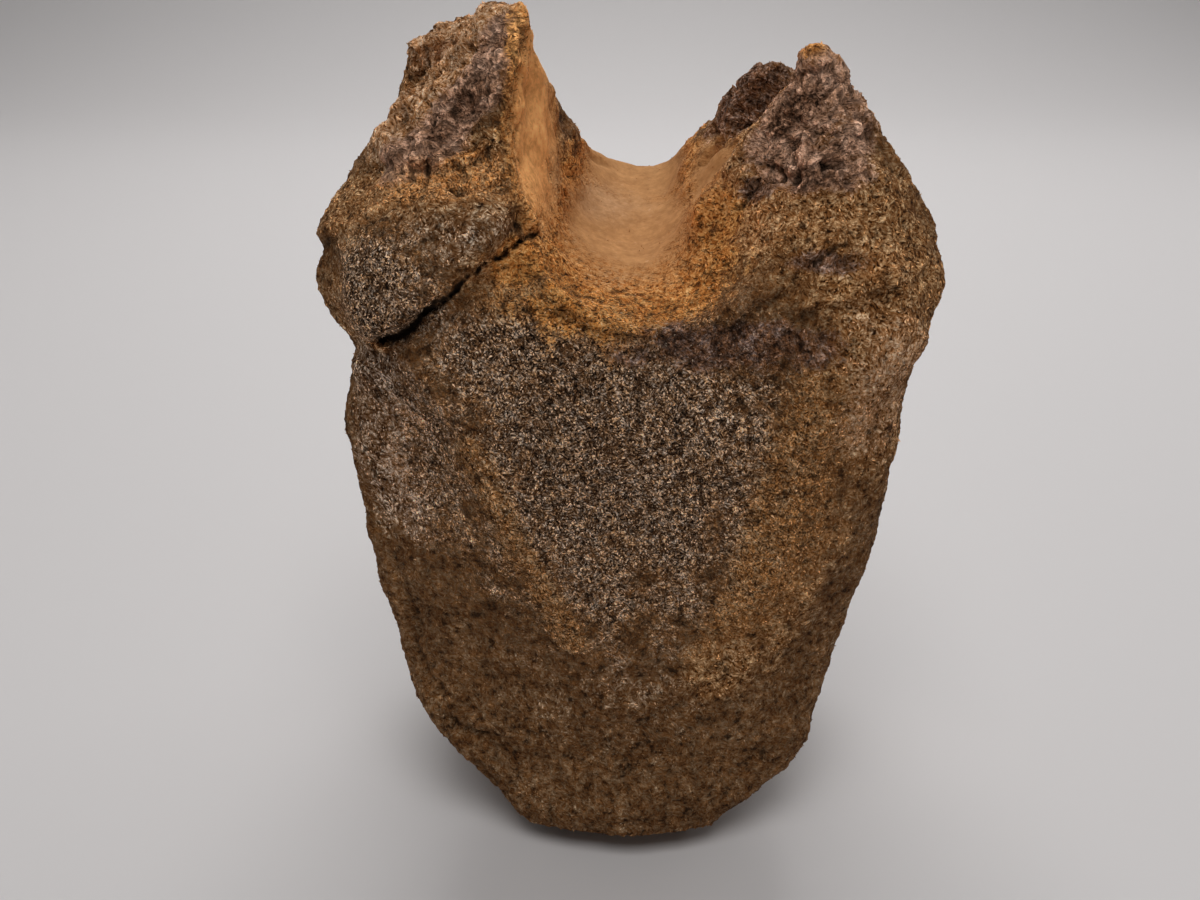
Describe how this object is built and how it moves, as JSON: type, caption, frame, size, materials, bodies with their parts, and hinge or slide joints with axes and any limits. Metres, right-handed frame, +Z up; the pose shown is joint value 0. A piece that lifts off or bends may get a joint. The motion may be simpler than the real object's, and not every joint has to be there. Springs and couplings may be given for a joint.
{
  "type": "fossil vertebra",
  "caption": "Hadrosaur back vertebra: waisted spool of bone with shield-shaped faces, an open neural canal on top and broken arch stumps on either side; stands upright.",
  "frame": {"origin": "centre of the bounding box at the floor, under the worn rims that the bone stands on", "axes": "+Z up from the rims to the broken arch stumps, -Y out of the front face of the centrum, +X to the right of someone facing that face"},
  "size_m": [0.1158, 0.0792, 0.1684],
  "materials": {
    "fossil_bone": "granular iron-stained mineralised bone, sandy brown with ochre in the canal"
  },
  "bodies": {
    "root": {"vertebra": "fossil_bone"}
  },
  "joints": []
}
